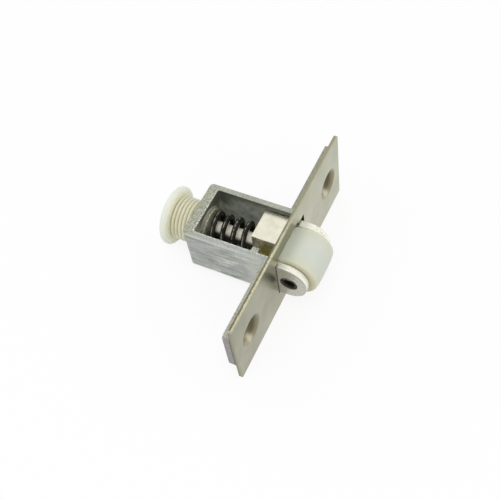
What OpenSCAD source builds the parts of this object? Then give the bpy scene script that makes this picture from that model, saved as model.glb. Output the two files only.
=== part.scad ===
// Adjustable roller catch for a door's edge. A nylon roller runs in a forked bolt, which a spring holds out of
// a cast housing. A threaded nylon adjuster at the back sets how far the roller stands out of the faceplate.
// Millimetres. X runs along the faceplate, Y into the door and Z across the faceplate.
// The origin is on the bolt's axis, in the plane of the flange's back, which lies on the door.

/* [Faceplate] */
// Length of the faceplate
plate_l = 67; // [62:0.5:90]
// Width of the faceplate
plate_w = 25; // [18:0.5:32]
// Thickness of the faceplate
plate_t = 1; // [0.8:0.1:2.2]
// Radius of the faceplate's corners
plate_corner_r = 1; // [0.5:0.1:4]
// Chamfer round the faceplate's front edges
plate_chamfer = 0.3; // [0.1:0.05:0.6]

/* [Fixing screws] */
// Distance between the two screw holes
screw_pitch = 50.6; // [42:0.2:54]
// Radius of a screw hole
screw_r = 2.3; // [1.8:0.1:2.6]
// Radius of a countersink at the front of the faceplate
sink_r = 4.5; // [4:0.1:5]

/* [Casting] */
// Length of the casting's flange
flange_l = 66; // [60:0.5:80]
// Thickness of the casting's flange
flange_t = 2.5; // [1.5:0.1:3.2]
// Chamfer round the flange's front edges
flange_chamfer = 0.7; // [0.2:0.05:1]
// Radius of the flange's corners
flange_corner_r = 1.2; // [0.5:0.1:3]
// Depth of the housing from the back of the faceplate to its rear face
case_l = 27; // [24:0.5:34]
// Thickness of the side walls
wall_t = 1.75; // [1.3:0.05:2.2]
// Thickness of the rear wall, which holds the adjuster's thread
rear_wall_t = 3; // [2:0.1:5]
// Thickness of the floor
floor_t = 1.2; // [0.8:0.1:2]
// Wall left outside the channels that guide the fork's arms
channel_web = 0.7; // [0.5:0.05:1.2]
// Radius of the housing's upright rear corners
case_corner_r = 1.8; // [0.6:0.1:2.4]
// Radius of the housing's lower edges
case_lower_r = 1; // [0.5:0.1:1.2]
// Radius of the housing's upper outer edges
case_upper_r = 0.4; // [0.2:0.05:0.6]
// Radius of the cavity's upright rear corners
cavity_corner_r = 0.6; // [0.2:0.1:1.2]
// Fillet where the side walls meet the flange
wing_fillet_r = 0.8; // [0.3:0.1:1.5]

/* [Roller] */
// Length of the roller
roller_l = 12; // [10:0.2:14]
// Radius of the roller at its middle
roller_r = 7.3; // [6.6:0.1:7.6]
// How much smaller the roller's radius is at its ends
roller_crown = 0.3; // [0.1:0.05:0.5]
// Rounding of the roller's ends
roller_edge_r = 1; // [0.4:0.1:1.5]
// Outer radius of the slotted roller pin
pin_r = 2.5; // [1.8:0.05:2.8]
// Wall of the slotted roller pin
pin_wall = 0.8; // [0.5:0.05:1]
// Width of the slot along the roller pin
pin_slot = 0.7; // [0.4:0.1:1]
// How far the roller's axis lies in front of the faceplate
pin_out = 3.2; // [2.8:0.1:5]
// Where the middle of the roller lies along the faceplate, from the bolt's axis
roller_x = -0.65; // [-0.7:0.05:0.7]

/* [Bolt] */
// Height of the fork
fork_h = 11.7; // [10:0.1:12]
// Thickness of the fork's ears
ear_t = 2.05; // [1.6:0.05:3.2]
// How far the middle of the ears' round ends lies behind the roller's axis
ear_set_back = 0.8; // [0:0.1:1.5]
// Step from the ears in to the arms that run inside the housing
shoulder_w = 0.75; // [0.5:0.05:1]
// How far the arms run behind the back of the faceplate
arm_l = 4; // [3:0.1:5]
// Thickness of the fork's web between the roller and the spring
web_t = 5.9; // [4.5:0.1:7]
// How far the roller is pushed in when the door closes
bolt_travel = 3; // [2:0.1:3.2]
// Where the fork's high side ends, measured from the axis
step_x = 2.1; // [1.9:0.1:3]
// Height of the fork's low side above the axis
step_z = 1; // [0:0.1:2.5]
// Thickness of the lip behind the fork's pocket
lip_t = 2; // [1.2:0.1:3]
// Depth of the fork's pocket below the axis
pocket_z = 3; // [1:0.1:4]
// Wall left beside the fork's pocket
pocket_wall = 0.65; // [0.4:0.05:1]
// Thickness of the fork's top over the pocket
roof_t = 2.35; // [1.5:0.05:3.5]
// How far the pocket reaches in under the fork's top
undercut = 0.45; // [0.2:0.05:0.6]
// Radius of the spindle
spindle_r = 2.25; // [1.8:0.05:2.6]
// Radius of the spindle's tail, riveted into the web
tail_r = 1.3; // [1:0.05:1.4]
// Depth of the spindle's groove for its clip
groove_depth = 0.5; // [0.3:0.05:0.7]
// How far the spindle runs on behind its clip
tip_l = 0.75; // [0.6:0.05:2]

/* [Spring] */
// Outer radius of the spring
spring_r = 5.3; // [4.6:0.1:5.8]
// Radius of the spring's wire
wire_r = 0.75; // [0.4:0.05:0.8]
// Turns of the spring that work
active_turns = 3.75; // [3:0.25:4]
// Share of a turn that lies flat at each end
dead_turns = 0.55; // [0.3:0.05:0.55]
// Angle from the top at which the spring leaves its washer
spring_start = -56; // [-180:1:180]
// Outer radius of the spring's washer
washer_r = 5.9; // [5.4:0.1:6.1]
// Thickness of the spring's washer
washer_t = 0.8; // [0.4:0.1:1.2]

/* [Adjuster] */
// Outer radius of the adjuster's thread
thread_r = 6.25; // [6:0.05:7]
// Pitch of the adjuster's thread
thread_pitch = 1.1; // [0.8:0.05:1.5]
// Depth of the adjuster's thread
thread_depth = 0.6; // [0.3:0.05:0.8]
// How far the adjuster's head stands off the housing
head_out = 6.7; // [5:0.1:10]
// Radius of the adjuster's head
head_r = 8.5; // [7.5:0.1:10]
// Thickness of the adjuster's head
head_t = 2; // [1:0.1:3]
// Chamfer round the adjuster's head
head_chamfer = 0.35; // [0.1:0.05:0.45]
// How far the adjuster's front end stands proud of the rear wall's inner face
shank_proud = 0.4; // [0.2:0.1:1]

/* [Clip] */
// Outer radius of the clip on the spindle
clip_r = 4.2; // [3.6:0.1:5]
// Thickness of the clip
clip_t = 0.8; // [0.5:0.05:1.2]
// Width of the clip's rim
clip_rim = 1.2; // [0.8:0.1:1.4]
// Width of each of the clip's fingers
clip_finger = 1.3; // [0.9:0.1:1.6]

/* [Clearances] */
// Between the roller's ends and the fork's ears
side_gap = 0.2; // [0.1:0.05:0.4]
// Between the roller and the fork's web, and round the roller in the faceplate
roller_gap = 0.45; // [0.3:0.05:0.8]
// Between the fork and what it slides in
fork_gap = 0.25; // [0.15:0.05:0.4]
// Above and below the ears in the faceplate
notch_gap = 0.75; // [0.3:0.05:1]
// Between the fork's web and the cavity's walls
web_gap = 0.3; // [0.2:0.05:0.5]
// Between the pin and the roller's bore
pin_gap = 0.05; // [0.02:0.01:0.1]
// Between parts that are pressed together
press_gap = 0.01; // [0.01:0.01:0.02]
// Between the adjuster's thread and the rear wall
thread_gap = 0.05; // [0.02:0.01:0.1]
// Between the spindle and what it slides through
spindle_gap = 0.15; // [0.1:0.05:0.3]
// Between the spring or the clip and what it bears on
bearing_gap = 0.05; // [0.03:0.01:0.1]
// Left before the ears meet the housing at the end of the travel
stop_gap = 0.2; // [0.1:0.05:0.4]

/* [Hidden] */
$fn = 72;
// How far a cut runs past the face that it opens
past = 0.5;

// Fork and roller
plate_front = -plate_t;
pin_y = plate_front - pin_out;
ear_in = roller_l / 2 + side_gap;
ear_out = ear_in + ear_t;
ear_end_y = pin_y + ear_set_back;
fork_side = ear_out + abs(roller_x);
arm_out = ear_out - shoulder_w;
shoulder_y = flange_t - bolt_travel - stop_gap;
web_rear = pin_y + roller_r + roller_gap + web_t;
lip_y = web_rear - lip_t;
roof_z = fork_h / 2 - roof_t;
pin_l = 2 * ear_out;
pin_chamfer = pin_wall / 3;
crown_r = (pow(roller_l / 2, 2) + pow(roller_crown, 2)) / (2 * roller_crown);
crown_sides = 20 * $fn;

// Openings that the bolt slides through
notch_x = fork_side + fork_gap;
notch_z = fork_h / 2 + notch_gap;
slot_x = roller_l / 2 + roller_gap;
slot_z = roller_r + roller_gap;

// Housing
channel_x = fork_side - shoulder_w + fork_gap;
channel_z = fork_h / 2 + fork_gap;
case_x = channel_x + channel_web;
cavity_x = case_x - wall_t;
web_x = cavity_x - web_gap;
cavity_z = max(thread_r + fork_gap, channel_z);
case_z = cavity_z + floor_t;
cavity_rear = case_l - rear_wall_t;
channel_rear = arm_l + bolt_travel + stop_gap;
relief_rear = pin_y + roller_r + roller_gap + bolt_travel + stop_gap;

// Adjuster, washer and spring
shank_front = cavity_rear - shank_proud;
head_front = case_l + head_out;
head_rear = head_front + head_t;
root_r = thread_r - thread_depth;
crest_w = thread_pitch / 4;
thread_turns = floor((head_front - shank_front) / thread_pitch) - 1;
washer_front = shank_front - washer_t;
coil_r = spring_r - wire_r;
coil_front = web_rear + bearing_gap + wire_r;
coil_rear = washer_front - bearing_gap - wire_r;
spring_pitch = (coil_rear - coil_front) / active_turns;
wire_sides = 8;
turn_steps = 24;

// Spindle and clip
tail_front = pin_y + roller_r + roller_gap + press_gap;
clip_front = head_rear + bearing_gap;
groove_front = clip_front - press_gap;
groove_rear = clip_front + clip_t + press_gap;
groove_r = spindle_r - groove_depth;
spindle_rear = groove_rear + tip_l;
tip_chamfer = groove_depth;

// Moves the pieces, which are drawn from where the faceplate meets the casting, to the flange's back
module from_flange_back() {
  translate([0, -flange_t, 0]) children();
}

// Carries a flat outline, drawn as X and Z, along Y from y0 to y1
module extrude_y(y0, y1) {
  translate([0, y1, 0]) rotate([90, 0, 0]) linear_extrude(y1 - y0) children();
}

// Carries a flat outline, drawn as Y and Z, along X from x0 to x1
module extrude_x(x0, x1) {
  translate([x0, 0, 0]) rotate([90, 0, 90]) linear_extrude(x1 - x0) children();
}

// Carries a flat outline, drawn as X and Y, along Z from z0 to z1
module extrude_z(z0, z1) {
  translate([0, 0, z0]) linear_extrude(z1 - z0) children();
}

// Turns a half outline, drawn as radius and Y, about the bolt's axis
module turn_y() {
  rotate([-90, 0, 0]) rotate_extrude() children();
}

// Moves what is drawn about the middle of the roller to its place along the faceplate
module at_roller() {
  translate([roller_x, 0, 0]) children();
}

// Turns a half outline, drawn as radius and X, about the roller's axis
module turn_x() {
  at_roller() translate([0, pin_y, 0]) rotate([0, 90, 0]) rotate_extrude() children();
}

// Block between two corners
module block(low, high) {
  translate(low) cube(high - low);
}

// Draws its children on both sides of the middle
module both_sides() {
  for (side = [0, 1]) {
    mirror([side, 0, 0]) children();
  }
}

// Rectangle about the origin with round corners
module rounded(w, h, r) {
  square([w - 2 * r, h], center = true);
  square([w, h - 2 * r], center = true);
  for (x = [-1, 1], y = [-1, 1]) {
    translate([x * (w / 2 - r), y * (h / 2 - r)]) circle(r);
  }
}

// Rectangle about the origin with its own radius on the lower and the upper corners
module rounded_low_high(w, h, r_low, r_high) {
  intersection() {
    translate([0, h / 2]) rounded(w, 2 * h, r_low);
    translate([0, -h / 2]) rounded(w, 2 * h, r_high);
  }
}

// Strip from the front to the back, with its front corners cut off, drawn as length and Y
module strip(length, front, back, cut) {
  half = length / 2;
  polygon([[-half, back], [half, back], [half, front + cut], [half - cut, front], [cut - half, front],
           [-half, front + cut]]);
}

// Plate with round corners, chamfered round its front
module chamfered_plate(w, h, r, front, back, cut) {
  intersection() {
    extrude_y(front, back) rounded(w, h, r);
    extrude_z(-h / 2, h / 2) strip(w, front, back, cut);
    extrude_x(-w / 2, w / 2) rotate(90) mirror([0, 1]) strip(h, front, back, cut);
  }
}

// Both screw holes, countersunk from the front of the faceplate
module screw_holes() {
  both_sides() {
    translate([screw_pitch / 2, 0, 0]) {
      turn_y() polygon([[0, plate_front - past], [sink_r + past, plate_front - past],
                        [screw_r, plate_front + sink_r - screw_r], [screw_r, flange_t + past],
                        [0, flange_t + past]]);
    }
  }
}

// Cross-shaped outline that lets the ears and the roller through
module bolt_slot() {
  square([2 * notch_x, 2 * notch_z], center = true);
  translate([roller_x, 0]) square([2 * slot_x, 2 * slot_z], center = true);
}

// Outside of the housing behind the flange
module case_body() {
  intersection() {
    extrude_y(flange_t - past, case_l) rounded_low_high(2 * case_x, 2 * case_z, case_lower_r, case_upper_r);
    extrude_z(-case_z, case_z) rounded(2 * case_x, 2 * case_l, case_corner_r);
    extrude_x(-case_x, case_x) rounded_low_high(2 * case_l, 2 * case_z, case_lower_r, case_upper_r);
  }
}

// Fillets between the side walls and the flange
module wing_fillets() {
  both_sides() {
    extrude_z(-case_z + case_lower_r, case_z - case_upper_r) {
      difference() {
        translate([case_x - past, flange_t - past]) square(wing_fillet_r + past);
        translate([case_x + wing_fillet_r, flange_t + wing_fillet_r]) circle(wing_fillet_r);
      }
    }
  }
}

module housing() {
  color("#98a0a3") difference() {
    union() {
      chamfered_plate(flange_l, 2 * case_z, flange_corner_r, 0, flange_t, flange_chamfer);
      case_body();
      wing_fillets();
    }
    extrude_z(-cavity_z, case_z + past) rounded(2 * cavity_x, 2 * cavity_rear, cavity_corner_r);
    block([-channel_x, -past, -channel_z], [channel_x, channel_rear, channel_z]);
    at_roller() block([-slot_x, -past, -case_z - past], [slot_x, relief_rear, case_z]);
    extrude_y(-past, flange_t) bolt_slot();
    turn_y() translate([0, cavity_rear - past]) square([thread_r + thread_gap, rear_wall_t + 2 * past]);
    screw_holes();
  }
}

module faceplate() {
  color("#b7b09a") difference() {
    chamfered_plate(plate_l, plate_w, plate_corner_r, plate_front, 0, plate_chamfer);
    extrude_y(plate_front - past, past) bolt_slot();
    screw_holes();
  }
}

// Side view of an ear, with a round end and cut off at its shoulder
module ear_outline() {
  end_r = fork_h / 2;
  intersection() {
    union() {
      translate([ear_end_y, 0]) circle(end_r);
      translate([ear_end_y, -end_r]) square([shoulder_y - ear_end_y, fork_h]);
    }
    translate([ear_end_y - end_r, -end_r]) square([shoulder_y - ear_end_y + end_r, fork_h]);
  }
}

// Step and pocket in the side of the fork that is cut low
module fork_low_side() {
  top = fork_h / 2 + past;
  block([-web_x - past, arm_l, step_z], [-step_x, web_rear + past, top]);
  block([pocket_wall - web_x, pin_y, -pocket_z], [-step_x, lip_y, top]);
  block([pocket_wall - web_x, pin_y, -pocket_z], [undercut - step_x, lip_y, roof_z]);
}

module bolt_fork() {
  color("#d9d3bf") difference() {
    union() {
      at_roller() both_sides() {
        extrude_x(ear_in, ear_out) ear_outline();
        block([ear_in, ear_end_y, -fork_h / 2], [arm_out, arm_l, fork_h / 2]);
      }
      block([-web_x, shoulder_y, -fork_h / 2], [web_x, web_rear, fork_h / 2]);
    }
    turn_x() translate([0, -ear_in]) square([roller_r + roller_gap, 2 * ear_in]);
    turn_x() translate([0, -ear_out - past]) square([pin_r + press_gap, pin_l + 2 * past]);
    turn_y() translate([0, pin_y]) square([tail_r + press_gap, web_rear + past - pin_y]);
    fork_low_side();
  }
}

module roller() {
  bore_r = pin_r + pin_gap;
  color("#e9e7d6") turn_x() {
    intersection() {
      translate([bore_r, -roller_l / 2]) square([roller_r - bore_r, roller_l]);
      rounded(2 * roller_r, roller_l, roller_edge_r);
      translate([roller_r - crown_r, 0]) circle(crown_r, $fn = crown_sides);
    }
  }
}

// Half outline of the pin's outside, with its ends chamfered
module pin_outline() {
  half = pin_l / 2;
  polygon([[0, -half], [pin_r - pin_chamfer, -half], [pin_r, pin_chamfer - half],
           [pin_r, half - pin_chamfer], [pin_r - pin_chamfer, half], [0, half]]);
}

module roller_pin() {
  color("#2b2b2c") difference() {
    turn_x() pin_outline();
    turn_x() translate([0, -pin_l / 2 - past]) square([pin_r - pin_wall, pin_l + 2 * past]);
    at_roller() {
      block([-ear_out - past, pin_y, -pin_slot / 2], [ear_out + past, pin_y + pin_r + past, pin_slot / 2]);
    }
  }
}

module spindle() {
  color("#d2cdbb") turn_y() {
    polygon([[0, tail_front], [tail_r, tail_front], [tail_r, web_rear], [spindle_r, web_rear],
             [spindle_r, groove_front], [groove_r, groove_front], [groove_r, groove_rear],
             [spindle_r, groove_rear], [spindle_r, spindle_rear - tip_chamfer],
             [spindle_r - tip_chamfer, spindle_rear], [0, spindle_rear]]);
  }
}

// Where the middle of the spring's wire lies along the axis, after so many turns from its rear end
function coil_y(turns) =
  coil_rear - spring_pitch * min(max(turns - dead_turns, 0), active_turns);

// Ring of points round the wire, where the coil has turned so far
function wire_ring(turns) =
  let (angle = 360 * (turns - dead_turns) + spring_start)
  [for (side = [0 : wire_sides - 1])
    let (round = 360 * side / wire_sides)
    let (reach = coil_r + wire_r * cos(round))
    [-reach * sin(angle), coil_y(turns) + wire_r * sin(round), reach * cos(angle)]];

module spring() {
  turns = active_turns + 2 * dead_turns;
  rings = ceil(turns * turn_steps);
  points = [for (ring = [0 : rings]) each wire_ring(turns * ring / rings)];
  skin = [for (ring = [0 : rings - 1], side = [0 : wire_sides - 1])
    let (next = (side + 1) % wire_sides)
    let (here = ring * wire_sides)
    [here + side, here + next, here + wire_sides + next, here + wire_sides + side]];
  start_cap = [for (side = [0 : wire_sides - 1]) wire_sides - 1 - side];
  end_cap = [for (side = [0 : wire_sides - 1]) rings * wire_sides + side];
  color("#232324") polyhedron(points, concat(skin, [start_cap, end_cap]));
}

module seat_washer() {
  bore_r = spindle_r + spindle_gap;
  color("#b9b5a6") turn_y() translate([bore_r, washer_front]) square([washer_r - bore_r, washer_t]);
}

// One ridge of the thread, drawn as radius and Y from its front root
function ridge(y) =
  [[root_r, y], [thread_r, y + thread_pitch / 2 - crest_w / 2],
   [thread_r, y + thread_pitch / 2 + crest_w / 2]];

module adjuster() {
  bore_r = spindle_r + spindle_gap;
  rear_end = [[root_r, head_front], [head_r - head_chamfer, head_front], [head_r, head_front + head_chamfer],
              [head_r, head_rear - head_chamfer], [head_r - head_chamfer, head_rear], [bore_r, head_rear]];
  first_ridge = shank_front + thread_pitch / 2;
  thread = [for (turn = [0 : thread_turns - 1]) each ridge(first_ridge + turn * thread_pitch)];
  thread_end = [[root_r, first_ridge + thread_turns * thread_pitch]];
  color("#ecebd8") turn_y() {
    polygon(concat([[bore_r, shank_front], [root_r, shank_front]], thread, thread_end, rear_end));
  }
}

module retaining_clip() {
  inner_r = clip_r - clip_rim;
  color("#3a3a3b") extrude_y(clip_front, clip_front + clip_t) difference() {
    circle(clip_r);
    difference() {
      circle(inner_r);
      for (turn = [90, 180, 270]) {
        rotate(turn + 180) translate([0, -clip_finger / 2]) square([clip_r, clip_finger]);
      }
    }
    circle(groove_r + press_gap);
    translate([0, -groove_r]) square([clip_r + past, 2 * groove_r]);
  }
}

from_flange_back() housing();
from_flange_back() faceplate();
from_flange_back() bolt_fork();
from_flange_back() roller();
from_flange_back() roller_pin();
from_flange_back() spindle();
from_flange_back() spring();
from_flange_back() seat_washer();
from_flange_back() adjuster();
from_flange_back() retaining_clip();
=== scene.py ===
"""Looks of an adjustable roller catch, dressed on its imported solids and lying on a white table."""

import math

import bpy
from mathutils import Matrix, Vector


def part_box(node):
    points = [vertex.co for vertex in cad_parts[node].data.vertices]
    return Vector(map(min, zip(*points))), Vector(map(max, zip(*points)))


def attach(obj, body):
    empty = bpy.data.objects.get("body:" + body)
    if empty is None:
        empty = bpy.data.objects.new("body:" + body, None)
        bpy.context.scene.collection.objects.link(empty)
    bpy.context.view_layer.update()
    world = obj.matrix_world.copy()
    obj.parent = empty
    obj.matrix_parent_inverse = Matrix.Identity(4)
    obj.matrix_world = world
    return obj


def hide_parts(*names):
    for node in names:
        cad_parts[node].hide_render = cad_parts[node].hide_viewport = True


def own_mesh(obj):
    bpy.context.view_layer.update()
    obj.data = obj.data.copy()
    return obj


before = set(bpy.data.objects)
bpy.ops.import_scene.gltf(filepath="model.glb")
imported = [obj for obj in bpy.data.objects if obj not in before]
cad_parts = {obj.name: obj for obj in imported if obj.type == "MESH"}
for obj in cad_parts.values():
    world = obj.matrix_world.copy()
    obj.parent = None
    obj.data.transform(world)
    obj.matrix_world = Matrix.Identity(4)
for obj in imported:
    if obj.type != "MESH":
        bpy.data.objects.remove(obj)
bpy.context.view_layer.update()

MM = 0.001
TAU = 2 * math.pi
MERGE = 1e-6
ALONG_X = (1, 0, 0)
ALONG_Y = (0, 1, 0)

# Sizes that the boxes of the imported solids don't give, in millimetres
ROLLER_CROWN = 0.3
ROLLER_BORE = 2.55
BARREL_STEPS = 10
PIN_BORE = 1.7
PIN_SLOT = 0.7
TAIL_R = 1.3
TIP_CHAMFER = 0.5
GROOVE_R = 1.75
GROOVE_Y = (33.24, 34.06)
SPINDLE_BORE = 2.4
WIRE_R = 0.75
COIL_R = 4.55
COIL_Y = (7.75, 19.5)
COIL_STEPS = 56
ACTIVE_TURNS = 3.75
REAR_FLAT = 0.55
FRONT_FLAT = 0.15
SPRING_START = -56
THREAD_R = 6.25
THREAD_ROOT = 5.62
THREAD_PITCH = 1.1
THREAD_FLANK = 0.36 * THREAD_PITCH
THREAD_STEPS = 72
LEAD_IN = THREAD_R - THREAD_ROOT + 0.1
CUT_MARGIN = 0.2
HEAD_T = 2.0

# Roundings of edges, in millimetres, and the angle in degrees within which faces count as flat
CAST_EDGE = 0.16
PLATE_EDGE = 0.12
CLIP_EDGE = 0.1
ROLLER_EDGE = 0.85
PIN_EDGE = 0.09
SPINDLE_EDGE = 0.08
WASHER_EDGE = 0.14
HEAD_EDGE = 0.8
FLAT_WITHIN = 0.4

# Where the finishes change, in millimetres
SCREW_X = 25.3
SINK_R = 4.5
CASE_X = 9.1
CAVITY_X = 7.35
CAVITY_Y = 21.5
RIM_Z = 7.7
FLANGE_X = 33.0
FLANGE_FRONT = -2.5
PLATE_X = 33.5
PLATE_Z = 12.5
PLATE_FRONT = -3.5
SLOT_X = 12.0
SLOT_Z = 7.75
NEAR_EAR = -8.9
FAR_EAR = 7.6
ROLLER_X = -0.65
STEP_X = -2.1
STEP_Z = 1.0
LIP_Y = 4.95
ROOF_Z = 3.5
FORK_TOP = 5.85
HEAD_Y = 31.2

# Table, light and camera. The camera was solved from the faceplate in the photograph.
WHITE = (1, 1, 1, 1)
TABLE_SIZE = 3
TABLE_PAPER = (0.86, 0.86, 0.86, 1)
TABLE_GLOW = 0.86
TABLE_GAP = 0.02
HEEL_ROUNDING = 0.3
ROOM_LIGHT = 0.88
LAMP_PLACE = (-0.15, -0.08, 0.6)
LAMP_SIZE = 0.3
LAMP_POWER = 1.0
CAMERA_PLACE = (-0.10877, -0.06668, 0.19046)
CAMERA_RIGHT = (0.43212, -0.8952, -0.109)
CAMERA_AHEAD = (0.45957, 0.3226, -0.82748)
CAMERA_LENS = 60.72
CAMERA_SENSOR = 36
CAMERA_NEAR = 0.01


# Handling pieces


def put_down():
    """Leaves edit mode and deselects everything."""
    if bpy.context.object and bpy.context.object.mode != "OBJECT":
        bpy.ops.object.mode_set(mode="OBJECT")
    bpy.ops.object.select_all(action="DESELECT")


def pick_up(piece):
    """Makes one piece the only selected one, ready for operators."""
    put_down()
    piece.select_set(True)
    bpy.context.view_layer.objects.active = piece


def open_mesh(piece):
    """Goes into edit mode with the whole mesh selected."""
    pick_up(piece)
    bpy.ops.object.mode_set(mode="EDIT")
    bpy.ops.mesh.select_all(action="SELECT")


def close_mesh(turn_out=True):
    """Welds the mesh, turns its faces outwards if asked and leaves edit mode."""
    bpy.ops.mesh.select_all(action="SELECT")
    bpy.ops.mesh.remove_doubles(threshold=MERGE)
    if turn_out:
        bpy.ops.mesh.normals_make_consistent(inside=False)
    bpy.ops.object.mode_set(mode="OBJECT")


def work(piece, kind, **settings):
    """Adds one modifier and applies it."""
    pick_up(piece)
    modifier = piece.modifiers.new(kind.title(), kind)
    for key, value in settings.items():
        setattr(modifier, key, value)
    bpy.ops.object.modifier_apply(modifier=modifier.name)


def round_edges(piece, width, segments=3, angle=32):
    """Rounds every edge that is sharper than the angle."""
    work(
        piece,
        "BEVEL",
        width=width * MM,
        segments=segments,
        limit_method="ANGLE",
        angle_limit=math.radians(angle),
        use_clamp_overlap=True,
        miter_outer="MITER_ARC",
    )


def take(piece, cutter, operation):
    """Joins, cuts or trims a piece with another one, which is used up."""
    work(piece, "BOOLEAN", operation=operation, solver="EXACT", object=cutter)
    bpy.data.objects.remove(cutter)


def draw(name, points, closed=True):
    """Draws an outline, in millimetres, from one point on, by extruding it."""
    put_down()
    bpy.ops.mesh.primitive_plane_add(size=MM)
    piece = bpy.context.object
    piece.name = piece.data.name = name
    open_mesh(piece)
    bpy.ops.mesh.merge(type="CENTER")
    points = [Vector(p) * MM for p in points]
    if closed:
        points.append(points[0])
    bpy.ops.transform.translate(value=points[0])
    for here, there in zip(points, points[1:]):
        bpy.ops.mesh.extrude_region_move(TRANSFORM_OT_translate={"value": there - here})
    close_mesh(turn_out=False)
    return piece


def turn(piece, axis, centre=(0, 0, 0), steps=112, angle=TAU):
    """Turns an outline about an axis, and closes what a part turn leaves open."""
    open_mesh(piece)
    bpy.ops.mesh.spin(steps=steps, angle=angle, center=Vector(centre) * MM, axis=axis)
    bpy.ops.mesh.select_all(action="SELECT")
    bpy.ops.mesh.remove_doubles(threshold=MERGE)
    if angle < TAU:
        bpy.ops.mesh.fill_holes(sides=0)
    close_mesh()


def turned_on_bolt(name, outline, steps=112):
    """Turns an outline of radius and Y about the bolt's axis."""
    piece = draw(name, [(0, y, r) for r, y in outline])
    turn(piece, ALONG_Y, steps=steps)
    return piece


def solid_copy(name, node, edge, segments=3):
    """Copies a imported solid, welds it, clears its flat faces and rounds its edges."""
    piece = bpy.data.objects.new(name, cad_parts[node].data.copy())
    bpy.context.scene.collection.objects.link(piece)
    piece.data.materials.clear()
    open_mesh(piece)
    bpy.ops.mesh.remove_doubles(threshold=MERGE)
    bpy.ops.mesh.dissolve_limited(angle_limit=math.radians(FLAT_WITHIN))
    close_mesh(turn_out=False)
    round_edges(piece, edge, segments)
    return piece


def hand_over(piece, body, node, finish, smooth=35):
    """Shades a finished piece and hands it to the body that carries it."""
    pick_up(piece)
    bpy.ops.object.shade_smooth_by_angle(angle=math.radians(smooth))
    work(piece, "WEIGHTED_NORMAL", mode="FACE_AREA", weight=80, keep_sharp=True)
    piece.data.materials.clear()
    piece.data.materials.append(finish)
    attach(piece, body)
    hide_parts(node)


# Finishes


class Value:
    """A socket that takes part in plain arithmetic."""

    def __init__(self, finish, socket):
        self.finish = finish
        self.socket = socket

    def math(self, operation, first, second):
        """Adds one Math node."""
        return self.finish.node("ShaderNodeMath", {"operation": operation}, {0: first, 1: second})

    def __add__(self, other):
        return self.math("ADD", self, other)

    __radd__ = __add__

    def __sub__(self, other):
        return self.math("SUBTRACT", self, other)

    def __rsub__(self, other):
        return self.math("SUBTRACT", other, self)

    def __mul__(self, other):
        return self.math("MULTIPLY", self, other)

    __rmul__ = __mul__

    def __abs__(self):
        return self.math("ABSOLUTE", self, 0.0)

    def at_least(self, other):
        """The larger of the two."""
        return self.math("MAXIMUM", self, other)


class Finish:
    """One material and the nodes that make it."""

    def __init__(self, name):
        self.material = bpy.data.materials.new(name)
        self.material.use_nodes = True
        self.tree = self.material.node_tree
        self.tree.nodes.clear()
        self.place = None

    def node(self, kind, settings=None, sockets=None, output=0):
        """Adds a node, sets what it is, then its sockets, and gives one of its outputs."""
        made = self.tree.nodes.new(kind)
        for key, value in (settings or {}).items():
            if key == "stops":
                ramp = made.color_ramp.elements
                while len(ramp) < len(value):
                    ramp.new(1)
                for stop, (at, colour) in zip(ramp, value):
                    stop.position = at
                    stop.color = (*colour, 1)
            else:
                setattr(made, key, value)
        for key, value in (sockets or {}).items():
            socket = made.inputs[key]
            if isinstance(value, Value):
                self.tree.links.new(value.socket, socket)
            else:
                socket.default_value = value
        return Value(self, made.outputs[output]) if made.outputs else None

    def millimetres(self, stretch=(1, 1, 1)):
        """The place on the piece in millimetres, stretched along its axes."""
        if self.place is None:
            self.place = self.node("ShaderNodeTexCoord", output="Object")
        by = tuple(share / MM for share in stretch)
        return self.node("ShaderNodeVectorMath", {"operation": "MULTIPLY"}, {0: self.place, 1: by})

    def axis(self, letter):
        """How far a point lies along X, Y or Z, in millimetres."""
        return self.node("ShaderNodeSeparateXYZ", None, {0: self.millimetres()}, letter)

    def noise(self, stretch, detail=3.0, roughness=0.55):
        """Cloudy variation from 0 to 1, with so many clouds to the millimetre along each axis."""
        sockets = {"Vector": self.millimetres(stretch), "Scale": 1.0}
        sockets |= {"Detail": detail, "Roughness": roughness}
        return self.node("ShaderNodeTexNoise", None, sockets)

    def between(self, start, end, value):
        """Goes from 0 to 1 while a value goes from start to end, upwards or downwards."""
        sockets = {"Value": value, "From Min": start, "From Max": end}
        return self.node("ShaderNodeMapRange", {"interpolation_type": "SMOOTHSTEP"}, sockets)

    def ramp(self, value, *stops):
        """Colours a value by stops, each a position and a colour."""
        return self.node("ShaderNodeValToRGB", {"stops": stops}, {0: value})

    def mottle(self, pattern, dark, light, spread=0.12):
        """Goes from dark to light over the middle of a pattern."""
        return self.ramp(pattern, (0.5 - spread, dark), (0.5 + spread, light))

    def mix(self, factor, first, second):
        """Goes from the first colour to the second."""
        first, second = ((*c, 1) if isinstance(c, tuple) else c for c in (first, second))
        return self.node("ShaderNodeMix", {"data_type": "RGBA"}, {0: factor, 6: first, 7: second}, 2)

    def bump(self, height, depth, strength):
        """Relief of so many millimetres."""
        sockets = {"Height": height, "Distance": depth * MM, "Strength": strength}
        return self.node("ShaderNodeBump", None, sockets)

    def surface(self, **sockets):
        """Ends the material in one glossy surface, and gives the material."""
        named = {key.replace("_", " "): value for key, value in sockets.items()}
        shader = self.node("ShaderNodeBsdfPrincipled", None, named)
        self.node("ShaderNodeOutputMaterial", None, {"Surface": shader})
        return self.material


def about_screws(f, x, z):
    """How far a point lies from the nearer screw along X, and its distance from that screw squared."""
    along = x - SCREW_X * (2 * f.between(-1.0, 1.0, x) - 1)
    return along, along * along + z * z


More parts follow.
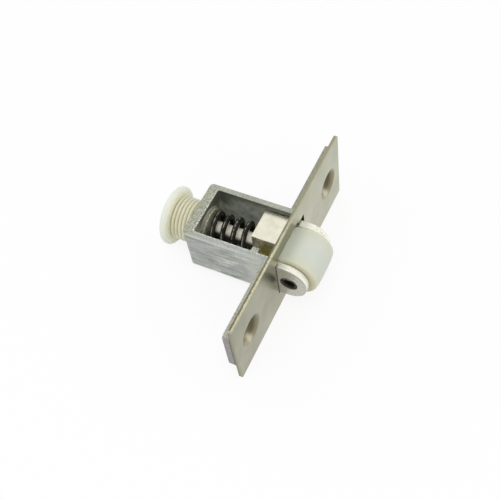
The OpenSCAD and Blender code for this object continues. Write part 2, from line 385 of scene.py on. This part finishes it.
def casting_walls(f, y, streaks, grain):
    """Streaked outside of the casting, paler at the flange and darker at the rear."""
    clouds = f.noise((0.2, 0.13, 0.2), 2.0)
    wall = f.ramp(
        streaks * 0.5 + clouds * 0.26 + grain * 0.24,
        (0.37, (0.20, 0.225, 0.205)),
        (0.46, (0.37, 0.395, 0.36)),
        (0.53, (0.49, 0.51, 0.465)),
        (0.62, (0.78, 0.79, 0.73)),
    )
    wall = f.mix(f.between(10.0, 2.0, y) * 0.5, wall, (0.66, 0.69, 0.62))
    wall = f.mix(f.between(13.0, 22.0, y) * 0.4, wall, (0.28, 0.30, 0.265))
    tint = f.between(0.52, 0.62, f.noise((0.32, 0.2, 0.32), 2.0)) * 0.4
    return f.mix(tint, wall, (0.40, 0.39, 0.44))


def casting_rims(f, x, y, z, outside, streaks, grain):
    """Rough rims, edges and flange over the casting's walls, with a painted highlight along the near wall's
    top edge, painted shade below the rims and a painted shadow on the flange where it meets the plate.
    """
    top = f.between(RIM_Z - 0.25, RIM_Z - 0.08, z)
    rear = f.between(CAVITY_Y - 0.9, CAVITY_Y + 0.1, y)
    khaki = f.ramp(
        grain,
        (0.38, (0.22, 0.225, 0.165)),
        (0.5, (0.37, 0.375, 0.295)),
        (0.62, (0.59, 0.595, 0.50)),
    )
    outside = f.mix(top * rear, outside, khaki)

    before_rear = f.between(CAVITY_Y + 0.1, CAVITY_Y - 0.9, y)
    near_rim = top * f.between(0.15 - CAVITY_X, -0.05 - CAVITY_X, x) * before_rear
    grey = f.mottle(grain, (0.27, 0.295, 0.265), (0.52, 0.545, 0.50))
    outside = f.mix(near_rim * 0.75, outside, grey)

    # Painted highlight: a pale band along the rounded top edge of the near wall's outside.
    near_edge = f.between(0.5 - CASE_X, 0.15 - CASE_X, x) * f.between(RIM_Z - 0.8, RIM_Z - 0.4, z)
    outside = f.mix(near_edge * f.between(1.0, 3.0, y) * 0.6, outside, (0.60, 0.64, 0.61))

    flange = f.between(0.5, 0.2, y) * f.between(CASE_X - 0.1, CASE_X + 0.5, abs(x))
    flange_edge = flange * f.between(RIM_Z - 0.7, RIM_Z - 0.3, abs(z))
    near_flange = f.mottle(grain, (0.30, 0.30, 0.25), (0.62, 0.615, 0.53))
    far_flange = f.mottle(grain, (0.14, 0.137, 0.09), (0.34, 0.33, 0.24))
    outside = f.mix(flange_edge, outside, f.mix(f.between(-8.0, 8.0, x), near_flange, far_flange))

    flange_end = f.between(FLANGE_X - 0.5, FLANGE_X - 0.2, abs(x))
    outside = f.mix(flange_end, outside, f.mottle(grain, (0.20, 0.195, 0.185), (0.40, 0.39, 0.385)))

    far_rim = f.between(CAVITY_X - 0.05, CAVITY_X + 0.15, x) * f.between(RIM_Z - 0.2, RIM_Z - 0.05, z)
    outside = f.mix(far_rim * 0.7, outside, f.mottle(grain, (0.29, 0.295, 0.24), (0.53, 0.535, 0.45)))

    # Painted shadow: a dark strip on the flange where the plate's edge shades it.
    behind_plate = f.between(FLANGE_FRONT + 0.7, FLANGE_FRONT + 0.4, y)
    outside = f.mix(behind_plate * 0.85, outside, (0.09, 0.088, 0.055))

    # Painted shade: a dark streaky line on the outside of the walls, below the rim's rounded edge.
    below_rim = f.between(RIM_Z - 1.8, RIM_Z - 1.3, z) * f.between(RIM_Z - 0.6, RIM_Z - 0.9, z)
    below_rim = below_rim * f.between(CASE_X - 0.4, CASE_X - 0.2, abs(x)) * f.between(0.3, 0.6, streaks)
    return f.mix(below_rim * f.between(8.0, 18.0, y) * 0.6, outside, (0.19, 0.205, 0.185))


def casting_cavity(f, x, y, z, grain):
    """Sea-green sides of the cavity, painted darker towards the top and paler towards the bottom as shade,
    with a khaki rear wall and painted shade under the rim and in the far corner.
    """
    stain = f.noise((0.28, 0.28, 0.28), 3.0, 0.6)
    sea_green = f.ramp(stain, (0.38, (0.29, 0.34, 0.305)), (0.6, (0.60, 0.61, 0.51)))
    # Painted shade: the cavity's sides darker towards the top and paler towards the bottom.
    sea_green = f.mix(f.between(-0.5, 5.0, z) * 0.5, sea_green, (0.15, 0.165, 0.145))
    sea_green = f.mix(f.between(0.5, -3.5, z) * 0.6, sea_green, (0.85, 0.87, 0.76))

    khaki = f.mottle(grain * 0.7 + stain * 0.3, (0.24, 0.245, 0.17), (0.74, 0.745, 0.58), 0.1)
    rear_wall = f.between(CAVITY_Y - 0.3, CAVITY_Y - 0.08, y)
    rear_wall = rear_wall * f.between(CAVITY_X - 0.03, CAVITY_X - 0.2, abs(x))
    inside = f.mix(rear_wall, sea_green, khaki)

    # Painted shadow: dark under the rim at the rear of the cavity.
    under_rim = f.between(RIM_Z - 3.1, RIM_Z - 0.5, z) * f.between(CAVITY_Y - 0.1, CAVITY_Y - 1.5, y)
    inside = f.mix(under_rim * 0.85, inside, (0.10, 0.105, 0.08))
    # Painted shade: dark in the cavity's far rear corner.
    far_corner = f.between(CAVITY_Y - 7.0, CAVITY_Y - 0.5, y) * f.between(0.0, 5.0, z)
    far_corner = far_corner * f.between(-5.0, 0.5, x + 0.4 * z)
    return f.mix(far_corner * 0.85, inside, (0.05, 0.055, 0.042))


def casting_hole(f, along, off_screw, z):
    """Tan cone and bore of a screw hole, the cone with painted shade across it, and one painted bright spot
    of light as in the photograph.
    """
    # Painted shade: the cone darker towards +X and lighter towards -X.
    cone = f.ramp(
        f.between(3.2, -1.6, along),
        (0.15, (0.12, 0.108, 0.06)),
        (0.5, (0.19, 0.172, 0.105)),
        (0.95, (0.34, 0.31, 0.21)),
    )
    # Painted highlight: one bright spot low in the cone.
    painted_light_spot = f.between(1.5, 0.1, abs(along + 0.5)) * f.between(-2.2, -3.4, z)
    cone = f.mix(painted_light_spot, cone, (0.66, 0.61, 0.45))
    return f.mix(f.between(7.2, 6.0, off_screw), cone, (0.22, 0.205, 0.13))


def cast_zinc():
    """Bare casting: streaked outside, rough on its rims, with pale lines of edge wear and painted highlight
    on the inner rim edges, painted shade in the cavity and painted shade and highlight in the screw holes.
    """
    f = Finish("cast_zinc")
    x, y, z = map(f.axis, "XYZ")
    streaks = f.noise((1.5, 0.22, 1.5), 4.0, 0.65)
    grain = f.noise((3.6, 2.8, 3.6), 4.0, 0.65)
    outside = casting_rims(f, x, y, z, casting_walls(f, y, streaks, grain), streaks, grain)
    hollow = f.between(CAVITY_X + 0.15, CAVITY_X + 0.03, abs(x))
    hollow = hollow * f.between(CAVITY_Y + 0.2, CAVITY_Y + 0.06, y)
    colour = f.mix(hollow, outside, casting_cavity(f, x, y, z, grain))

    # Pale speckled lines along the inner edges of the rear and near rims: edge wear and a painted highlight
    # of the edges.
    rear_line = f.between(CAVITY_Y - 0.2, CAVITY_Y, y) * f.between(CAVITY_Y + 0.5, CAVITY_Y + 0.2, y)
    rear_line = rear_line * f.between(CAVITY_X + 0.25, CAVITY_X + 0.05, abs(x))
    near_line = f.between(0.15 - CAVITY_X, -CAVITY_X, x) * f.between(-0.4 - CAVITY_X, -0.15 - CAVITY_X, x)
    near_line = near_line * f.between(CAVITY_Y + 0.2, CAVITY_Y, y)
    wear_and_highlight = rear_line.at_least(near_line) * f.between(RIM_Z - 0.35, RIM_Z - 0.15, z)
    colour = f.mix(wear_and_highlight * f.between(0.40, 0.56, grain) * 0.75, colour, (0.88, 0.89, 0.80))

    along, off_screw = about_screws(f, x, z)
    in_hole = f.between(SINK_R * SINK_R, SINK_R * SINK_R - 1.5, off_screw) * f.between(-0.02, -0.12, y)
    return f.surface(
        Base_Color=f.mix(in_hole, colour, casting_hole(f, along, off_screw, z)),
        Metallic=0.35 - 0.25 * hollow,
        Roughness=0.42 + 0.2 * (1 - streaks) + 0.08 * grain,
        Normal=f.bump(streaks * 0.5 + grain * 0.6, 0.05, 0.8),
    )


def plate_sink(f, along, off_screw, z):
    """Tan countersink of the faceplate, with painted shade across it and on one darker side, and one painted
    bright spot of light as in the photograph.
    """
    # Painted shade: the dish darker towards +X and lighter towards -X.
    dish = f.ramp(
        f.between(SINK_R, -2.5, along),
        (0.1, (0.27, 0.235, 0.15)),
        (0.5, (0.37, 0.325, 0.22)),
        (0.9, (0.44, 0.395, 0.285)),
    )
    # Painted shade: one side of the dish darker still.
    dark_side = f.between(18.0, 12.5, off_screw) * f.between(0.0, 2.0, along)
    dish = f.mix(dark_side * 0.75, dish, (0.12, 0.105, 0.06))
    # Painted highlight: one bright spot low in the dish.
    painted_light_spot = f.between(1.7, 0.1, abs(along + 0.5)) * f.between(-2.8, -3.5, z) * f.between(-4.6, -4.0, z)
    return f.mix(painted_light_spot, dish, (0.70, 0.65, 0.48))


def sheared_edge(f, x, y, tear, near_end):
    """Cut edge of the faceplate: rolled at the front, where a painted highlight is brightest at the near end,
    torn behind, darker at the ends.
    """
    torn = f.mix(near_end, (0.40, 0.385, 0.265), (0.24, 0.232, 0.145))
    # Painted highlight: the rolled front of the edge, bright at the near end.
    rolled = f.mix(near_end, (0.45, 0.425, 0.29), (0.84, 0.79, 0.56))
    front = f.between(PLATE_FRONT + 0.65, PLATE_FRONT + 0.3, y + 1.2 * (tear - 0.5))
    end = f.between(PLATE_X - 0.1, PLATE_X - 0.04, abs(x))
    dull = f.mottle(tear, (0.22, 0.22, 0.16), (0.38, 0.375, 0.28))
    return f.mix(end * 0.85, f.mix(front, torn, rolled), dull)


def satin_nickel():
    """Satin plating on the faceplate, painted darker towards its near end as shade, with painted shade on the
    walls of its slot, tan countersinks, a bright line under its top edge that is burnish and painted
    highlight, and raw sheared edges.
    """
    f = Finish("satin_nickel")
    x, y, z = map(f.axis, "XYZ")
    brushing = f.noise((0.09, 6.0, 6.0), 3.0, 0.6)
    clouds = f.noise((0.12, 0.12, 0.12), 2.0)
    tear = f.noise((1.7, 3.2, 3.2), 4.0, 0.65)
    near_end = f.between(10.0, -10.0, x)
    satin = f.mottle(brushing * 0.35 + clouds * 0.65, (0.44, 0.44, 0.33), (0.54, 0.54, 0.415), 0.14)
    # Painted shade: the plating darker towards the near end.
    shaded_satin = f.mottle(clouds, (0.335, 0.33, 0.24), (0.41, 0.405, 0.30), 0.14)
    satin = f.mix(f.between(6.0, -12.0, x), satin, shaded_satin)

    along, off_screw = about_screws(f, x, z)
    satin = f.mix(f.between(27.5, 17.5, off_screw) * 0.9, satin, plate_sink(f, along, off_screw, z))

    # Painted shade: dark walls of the plate's slot.
    opening = f.between(PLATE_FRONT + 0.08, PLATE_FRONT + 0.2, y)
    opening = opening * f.between(SLOT_X, SLOT_X - 1.0, abs(x))
    opening = opening * f.between(SLOT_Z - 0.05, SLOT_Z - 0.35, abs(z))
    satin = f.mix(opening, satin, (0.05, 0.047, 0.03))

    # A bright line on the front just under the top edge: burnish and a painted highlight of the rounded edge.
    burnish_and_highlight = f.between(PLATE_Z - 0.4, PLATE_Z - 0.26, z) * f.between(0.3, 0.6, tear)
    satin = f.mix(burnish_and_highlight * (0.3 + 0.5 * near_end), satin, (0.82, 0.77, 0.54))

    sheared = f.between(PLATE_Z - 0.1, PLATE_Z - 0.04, abs(z))
    sheared = sheared.at_least(f.between(PLATE_X - 0.1, PLATE_X - 0.04, abs(x)))
    return f.surface(
        Base_Color=f.mix(sheared, satin, sheared_edge(f, x, y, tear, near_end)),
        Metallic=1.0,
        Roughness=0.30 + 0.10 * brushing + 0.14 * sheared,
        Normal=f.bump(brushing, 0.005, 0.5),
    )


def bright_nickel():
    """Bright plating on the fork, with oil left in its pocket, a painted highlight on its ears and painted
    shade along the near ear's edge.
    """
    f = Finish("bright_nickel")
    x, y, z = map(f.axis, "XYZ")
    clouds = f.noise((0.4, 0.4, 0.4), 3.0)
    grain = f.noise((4.0, 4.0, 4.0), 3.0, 0.6)
    plate = f.ramp(
        clouds * 0.75 + grain * 0.25,
        (0.36, (0.85, 0.825, 0.665)),
        (0.62, (1.0, 0.97, 0.81)),
    )

    low_side = f.between(STEP_X + 0.7, STEP_X + 0.4, x) * f.between(-6.8, -6.6, x)
    lip = low_side * f.between(STEP_Z + 0.4, STEP_Z + 0.1, z) * f.between(LIP_Y - 0.25, LIP_Y - 0.05, y)
    plate = f.mix(lip, plate, f.ramp(grain, (0.40, (0.14, 0.13, 0.08)), (0.48, (0.95, 0.94, 0.84))))

    step_side = f.between(STEP_X - 0.25, STEP_X - 0.1, x) * f.between(STEP_X + 0.2, STEP_X + 0.1, x)
    step_side = step_side * f.between(STEP_Z - 0.1, STEP_Z + 0.1, z)
    step_side = step_side * f.between(FORK_TOP - 0.25, FORK_TOP - 0.4, z)
    plate = f.mix(step_side, plate, f.mottle(grain, (0.18, 0.165, 0.09), (0.50, 0.47, 0.33), 0.1))

    # Painted highlight: the ears paler and brighter in front of the plate.
    ears = f.between(PLATE_FRONT + 0.3, PLATE_FRONT - 0.2, y)
    painted_tone = f.ramp(
        grain,
        (0.36, (0.80, 0.78, 0.64)),
        (0.5, (0.98, 0.96, 0.84)),
        (0.6, (1.0, 1.0, 0.93)),
    )
    plate = f.mix(ears, plate, painted_tone)
    # Painted shade: a dark line along the near ear's bevelled edge.
    ear_line = f.between(NEAR_EAR + 0.35, NEAR_EAR + 0.24, x)
    ear_line = ear_line * f.between(NEAR_EAR + 0.01, NEAR_EAR + 0.05, x)
    plate = f.mix(ear_line * 0.75, plate, (0.12, 0.11, 0.06))
    ear_face = f.between(NEAR_EAR + 0.04, NEAR_EAR + 0.01, x)
    ear_face = ear_face.at_least(f.between(FAR_EAR - 0.04, FAR_EAR - 0.01, x))
    plate = f.mix(ear_face, plate, f.mottle(grain, (0.48, 0.48, 0.41), (0.60, 0.595, 0.52), 0.1))

    pocket = low_side * f.between(ROOF_Z + 0.1, ROOF_Z - 0.2, z)
    pocket = pocket * f.between(LIP_Y + 0.05, LIP_Y - 0.15, y)
    pocket = pocket * f.between(PLATE_FRONT, PLATE_FRONT + 1.0, y)
    oil = f.mottle(grain, (0.42, 0.385, 0.15), (1.0, 0.95, 0.56), 0.08)
    return f.surface(
        Base_Color=f.mix(pocket, plate, oil),
        Metallic=1 - 0.9 * step_side.at_least(lip).at_least(0.4 * ears),
        Roughness=0.22 + 0.14 * grain + 0.2 * pocket,
        Normal=f.bump(grain * 0.35 + clouds * 0.65, 0.015, 0.4),
    )


def spindle_nickel():
    """Pale plating on the spindle, a little dull, with painted shade on its lower near side as in the
    photograph.
    """
    f = Finish("spindle_nickel")
    rings = f.noise((0.5, 3.5, 0.5), 3.0)
    pale = f.mottle(rings, (0.97, 0.94, 0.77), (1.0, 0.985, 0.84), 0.14)
    # Painted shade: dark on the spindle's lower near side.
    across = 0.868 * f.axis("X") + 0.497 * f.axis("Z")
    dark_side = f.between(-0.2, -1.3, across) * f.between(CAVITY_Y - 0.5, CAVITY_Y - 2.0, f.axis("Y"))
    return f.surface(
        Base_Color=f.mix(dark_side, pale, (0.055, 0.055, 0.04)),
        Metallic=0.1,
        Roughness=0.34 + 0.14 * rings,
        Normal=f.bump(rings, 0.01, 0.5),
    )


def roller_nylon():
    """Milky nylon, yellower towards the roller's ends, with painted shadow beside the ears and painted shade
    on the side towards the plate.
    """
    f = Finish("roller_nylon")
    clouds = f.noise((0.22, 0.22, 0.22), 2.0)
    grain = f.noise((3.0, 3.0, 3.0), 2.0)
    milk = f.mix(f.between(0.35, 0.65, clouds), (0.60, 0.63, 0.575), (0.62, 0.64, 0.565))
    off_middle = abs(f.axis("X") - ROLLER_X)
    milk = f.mix(f.between(2.0, 6.2, off_middle), milk, (0.60, 0.615, 0.48))
    # Painted shade: darker on the side towards the plate.
    milk = f.mix(f.between(-8.5, -3.0, f.axis("Y")), milk, (0.555, 0.58, 0.475))
    # Painted shadow: a tan band near each end, beside the ears.
    painted_tone = f.between(5.3, 5.9, off_middle)
    return f.surface(
        Base_Color=f.mix(painted_tone * 0.6, milk, (0.50, 0.46, 0.32)),
        Roughness=0.36 + 0.12 * grain,
        Normal=f.bump(grain, 0.01, 0.5),
        IOR=1.53,
        Subsurface_Weight=0.9,
        Subsurface_Radius=(1.0, 0.97, 0.75),
        Subsurface_Scale=0.004,
    )


def adjuster_nylon():
    """Milky nylon, with a tan thread that has painted shade in its roots and where it reaches into the
    cavity.
    """
    f = Finish("adjuster_nylon")
    x, y, z = map(f.axis, "XYZ")
    off_axis = x * x + z * z
    clouds = f.noise((0.25, 0.25, 0.25), 2.0)
    grain = f.noise((3.0, 3.0, 3.0), 2.0)
    head = f.mix(f.between(0.35, 0.65, clouds), (0.97, 0.98, 0.86), (1.0, 1.0, 0.90))
    head = f.mix(f.between(58.0, 70.0, off_axis), head, (0.67, 0.695, 0.61))
    # Painted shade: the thread darker in its roots.
    root = f.between(THREAD_R * THREAD_R - 1.0, THREAD_ROOT * THREAD_ROOT + 1.0, off_axis)
    thread = f.mix(root, (0.68, 0.665, 0.495), (0.58, 0.555, 0.39))
    # Painted shade: the thread darker where it reaches into the cavity.
    thread = f.mix(f.between(CAVITY_Y + 0.4, CAVITY_Y, y), thread, (0.45, 0.44, 0.33))
    return f.surface(
        Base_Color=f.mix(f.between(HEAD_Y + 0.1, HEAD_Y - 0.1, y), head, thread),
        Roughness=0.34 + 0.12 * grain,
        Normal=f.bump(grain, 0.01, 0.5),
        IOR=1.53,
        Subsurface_Weight=0.85,
        Subsurface_Radius=(1.0, 0.97, 0.75),
        Subsurface_Scale=0.0045,
    )


def black_oxide():
    """Oiled black steel of the spring, the pin and the clip, with a pale line where the coil is widest, which
    is wear and a painted highlight.
    """
    f = Finish("black_oxide")
    x, z = f.axis("X"), f.axis("Z")
    clouds = f.noise((0.8, 0.8, 0.8), 3.0)
    grain = f.noise((6.0, 6.0, 6.0), 2.0)
    black = f.ramp(clouds, (0.35, (0.011, 0.0108, 0.008)), (0.68, (0.034, 0.032, 0.024)))
    spring_r = COIL_R + WIRE_R
    outermost = f.between((spring_r - 0.05) ** 2, (spring_r - 0.005) ** 2, x * x + z * z)
    # A pale line along the outside of the coil's upper side: wear and a painted highlight.
    painted_tone = outermost * f.between(0.40, 0.58, clouds) * f.between(0.5, 3.0, z)
    pin_end = f.between(NEAR_EAR + 0.7, NEAR_EAR + 0.3, x)
    black = f.mix(pin_end, black, f.mottle(grain, (0.018, 0.018, 0.012), (0.075, 0.074, 0.055)))
    return f.surface(
        Base_Color=f.mix(painted_tone, black, (0.32, 0.30, 0.25)),
        Roughness=0.26 + 0.14 * grain,
        Specular_IOR_Level=0.10,
        Normal=f.bump(grain, 0.008, 0.5),
    )


def plain_steel():
    """Dull washer, stained like the casting behind it."""
    f = Finish("plain_steel")
    clouds = f.noise((2.6, 2.6, 2.6), 5.0, 0.7)
    lines = f.noise((2.5, 0.4, 2.5), 3.0)
    return f.surface(
        Base_Color=f.ramp(clouds, (0.40, (0.17, 0.168, 0.115)), (0.62, (0.66, 0.655, 0.51))),
        Metallic=0.5,
        Roughness=0.45 + 0.14 * lines,
        Normal=f.bump(lines, 0.01, 0.4),
    )


# Pieces


def nylon_roller(finish):
    """Turned roller, slightly barrelled, with round ends and a plain bore."""
    low, high = (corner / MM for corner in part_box("roller"))
    half, middle = (high.x - low.x) / 2, (low.x + high.x) / 2
    axis_y, radius = (low.y + high.y) / 2, high.z
    shares = [2 * i / BARREL_STEPS - 1 for i in range(BARREL_STEPS + 1)]
    barrel = [(middle + half * s, radius - ROLLER_CROWN * s * s) for s in shares]
    outline = [(low.x, ROLLER_BORE), *barrel, (high.x, ROLLER_BORE)]
    piece = draw("roller_body", [(x, axis_y, r) for x, r in outline])
    turn(piece, ALONG_X, (0, axis_y, 0), steps=128)
    round_edges(piece, ROLLER_EDGE, segments=6, angle=40)
    hand_over(piece, "roller", "roller", finish)


def slotted_pin(finish):
    """Spring pin: a tube with a slot along it and chamfered ends."""
    low, high = (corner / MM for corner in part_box("roller_pin"))
    axis_y, radius = (low.y + high.y) / 2, high.z
    chamfer = (radius - PIN_BORE) / 3
    outline = [
        (low.x, PIN_BORE),
        (low.x, radius - chamfer),
        (low.x + chamfer, radius),
        (high.x - chamfer, radius),
        (high.x, radius - chamfer),
        (high.x, PIN_BORE),
    ]
    gap = math.asin(PIN_SLOT / (radius + PIN_BORE))
    side, rise = math.cos(gap), math.sin(gap)
    piece = draw("slotted_pin", [(x, axis_y + r * side, r * rise) for x, r in outline])
    turn(piece, ALONG_X, (0, axis_y, 0), steps=72, angle=TAU - 2 * gap)
    round_edges(piece, PIN_EDGE, segments=2)
    hand_over(piece, "bolt", "roller_pin", finish)


def plated_spindle(finish):
    """Rod behind the fork, with a riveted tail and a groove for its clip."""
    low, high = (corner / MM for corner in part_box("spindle"))
    radius = high.z
    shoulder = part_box("bolt_fork")[1].y / MM
    outline = [
        (0, low.y),
        (TAIL_R, low.y),
        (TAIL_R, shoulder),
        (radius, shoulder),
        (radius, GROOVE_Y[0]),
        (GROOVE_R, GROOVE_Y[0]),
        (GROOVE_R, GROOVE_Y[1]),
        (radius, GROOVE_Y[1]),
        (radius, high.y - TIP_CHAMFER),
        (radius - TIP_CHAMFER, high.y),
        (0, high.y),
    ]
    piece = turned_on_bolt("spindle_rod", outline, steps=80)
    round_edges(piece, SPINDLE_EDGE, segments=2)
    hand_over(piece, "bolt", "spindle", finish)


def seat_ring(finish):
    """Washer between the spring and the adjuster."""
    low, high = (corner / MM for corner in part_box("seat_washer"))
    outline = [(SPINDLE_BORE, low.y), (high.z, low.y), (high.z, high.y), (SPINDLE_BORE, high.y)]
    piece = turned_on_bolt("spring_washer", outline, steps=96)
    round_edges(piece, WASHER_EDGE)
    hand_over(piece, "spring_seat", "seat_washer", finish)


def wire_spring(finish):
    """Right-handed coil with closed ends, drawn as a curve with the wire's thickness."""
    pitch = (COIL_Y[1] - COIL_Y[0]) / ACTIVE_TURNS
    turns = REAR_FLAT + ACTIVE_TURNS + FRONT_FLAT
    count = round(turns * COIL_STEPS)
    curve = bpy.data.curves.new("coil_spring", "CURVE")
    curve.dimensions = "3D"
    curve.bevel_depth = WIRE_R * MM
    curve.bevel_resolution = 6
    curve.use_fill_caps = True
    line = curve.splines.new("POLY")
    line.points.add(count)
    for i, point in enumerate(line.points):
        turned = turns * i / count - REAR_FLAT
        angle = TAU * turned + math.radians(SPRING_START)
        y = COIL_Y[1] - pitch * min(max(turned, 0), ACTIVE_TURNS)
        point.co = (-COIL_R * MM * math.sin(angle), y * MM, COIL_R * MM * math.cos(angle), 1)
    piece = bpy.data.objects.new("coil_spring", curve)
    bpy.context.scene.collection.objects.link(piece)
    pick_up(piece)
    bpy.ops.object.convert(target="MESH")
    piece = bpy.context.object
    open_mesh(piece)
    close_mesh()
    hand_over(piece, "spring_seat", "spring", finish, smooth=50)
    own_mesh(piece)


def helical_thread(front, rear):
    """Thread drawn as one turn's outline and screwed along the bolt's axis, past both ends."""
    first = front - THREAD_PITCH
    outline = [
        (0, first, THREAD_ROOT),
        (0, first + THREAD_FLANK, THREAD_R),
        (0, first + THREAD_PITCH - THREAD_FLANK, THREAD_R),
        (0, first + THREAD_PITCH, THREAD_ROOT),
    ]
    thread = draw("adjuster_screw", outline, closed=False)
    work(
        thread,
        "SCREW",
        axis="Y",
        angle=TAU,
        screw_offset=THREAD_PITCH * MM,
        iterations=math.ceil((rear - first) / THREAD_PITCH),
        steps=THREAD_STEPS,
        render_steps=THREAD_STEPS,
        use_merge_vertices=True,
        merge_threshold=MERGE,
    )
    return thread


def threaded_adjuster(finish):
    """Nylon screw: a helical thread with a lead-in, a thin round head and a bore for the spindle."""
    low, high = (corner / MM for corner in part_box("adjuster"))
    front, rear, head_r = low.y, high.y, high.z
    head_front = rear - HEAD_T
    thread = helical_thread(front, rear)
    for cut, side in ((front, -1), (head_front + HEAD_T / 2, 1)):
        open_mesh(thread)
        bpy.ops.mesh.bisect(
            plane_co=(0, cut * MM, 0),
            plane_no=(0, side, 0),
            use_fill=True,
            clear_outer=True,
            threshold=MERGE / 10,
        )
        bpy.ops.object.mode_set(mode="OBJECT")
    open_mesh(thread)
    close_mesh()
    widest = THREAD_R + CUT_MARGIN
    envelope = [
        (0, front),
        (THREAD_R - LEAD_IN, front),
        (widest, front + LEAD_IN + CUT_MARGIN),
        (widest, rear),
        (0, rear),
    ]
    take(thread, turned_on_bolt("lead_in", envelope), "INTERSECT")
    rim = [(0, head_front), (head_r, head_front), (head_r, rear), (0, rear)]
    head = turned_on_bolt("head", rim, steps=128)
    round_edges(head, HEAD_EDGE, segments=6)
    take(thread, head, "UNION")
    start, end = front - 1, rear + 1
    bore = [(0, start), (SPINDLE_BORE, start), (SPINDLE_BORE, end), (0, end)]
    take(thread, turned_on_bolt("bore", bore, steps=80), "DIFFERENCE")
    hand_over(thread, "adjuster", "adjuster", finish, smooth=28)


black = black_oxide()

housing = solid_copy("cast_housing", "housing", CAST_EDGE)
hand_over(housing, "case", "housing", cast_zinc())
faceplate = solid_copy("plated_faceplate", "faceplate", PLATE_EDGE)
hand_over(faceplate, "case", "faceplate", satin_nickel())
fork = solid_copy("forked_bolt", "bolt_fork", CAST_EDGE)
hand_over(fork, "bolt", "bolt_fork", bright_nickel())
clip = solid_copy("spindle_clip", "retaining_clip", CLIP_EDGE, segments=2)
hand_over(clip, "bolt", "retaining_clip", black)
nylon_roller(roller_nylon())
slotted_pin(black)
plated_spindle(spindle_nickel())
seat_ring(plain_steel())
wire_spring(black)
threaded_adjuster(adjuster_nylon())


# Table, light and camera


def white_table():
    """White table that the catch lies on: the faceplate's long edge and the adjuster's head touch it."""
    plate_low, plate_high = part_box("faceplate")
    head_low, head_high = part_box("adjuster")
    edge = Vector((0, plate_high.y, plate_low.z))
    heel = Vector((0, head_high.y - HEEL_ROUNDING * MM, head_low.z))
    slope = math.atan2(heel.z - edge.z, heel.y - edge.y)
    below = edge - Vector((0, 0, TABLE_GAP * MM))
    put_down()
    bpy.ops.mesh.primitive_plane_add(size=TABLE_SIZE, location=below, rotation=(slope, 0, 0))
    table = bpy.context.object
    table.name = "table"
    f = Finish("white_table")
    rays = ("Is Camera Ray", "Is Glossy Ray", "Is Transmission Ray")
    camera, glossy, through = (f.node("ShaderNodeLightPath", output=name) for name in rays)
    seen = camera + glossy + through
    paper = f.node("ShaderNodeBsdfDiffuse", None, {"Color": TABLE_PAPER})
    glow = f.node("ShaderNodeEmission", None, {"Color": WHITE, "Strength": 1.0})
    mixed = f.node("ShaderNodeMixShader", None, {0: TABLE_GLOW * seen, 1: paper, 2: glow})
    f.node("ShaderNodeOutputMaterial", None, {"Surface": mixed})
    table.data.materials.append(f.material)


def soft_light():
    """Even white surroundings and one large soft lamp above, which metal doesn't mirror."""
    world = bpy.data.worlds.new("white_room")
    world.use_nodes = True
    bpy.context.scene.world = world
    room = world.node_tree.nodes["Background"].inputs
    room["Color"].default_value = WHITE
    room["Strength"].default_value = ROOM_LIGHT
    lamp = bpy.data.lights.new("overhead", "AREA")
    lamp.shape = "DISK"
    lamp.size = LAMP_SIZE
    lamp.energy = LAMP_POWER
    holder = bpy.data.objects.new("overhead", lamp)
    bpy.context.scene.collection.objects.link(holder)
    place = Vector(LAMP_PLACE)
    holder.location = place
    holder.visible_glossy = False
    holder.rotation_euler = (-place).to_track_quat("-Z", "Y").to_euler()


def photo_camera():
    """Camera at the photograph's place, angle and lens."""
    lens = bpy.data.cameras.new("photo_camera")
    lens.lens = CAMERA_LENS
    lens.sensor_width = CAMERA_SENSOR
    lens.clip_start = CAMERA_NEAR
    holder = bpy.data.objects.new("photo_camera", lens)
    bpy.context.scene.collection.objects.link(holder)
    ahead = Vector(CAMERA_AHEAD).normalized()
    up = Vector(CAMERA_RIGHT).cross(ahead).normalized()
    right = ahead.cross(up)
    turned = Matrix((right, up, -ahead)).transposed()
    holder.matrix_world = Matrix.Translation(CAMERA_PLACE) @ turned.to_4x4()
    bpy.context.scene.camera = holder


white_table()
soft_light()
photo_camera()
bpy.context.scene.view_settings.view_transform = "Standard"

put_down()
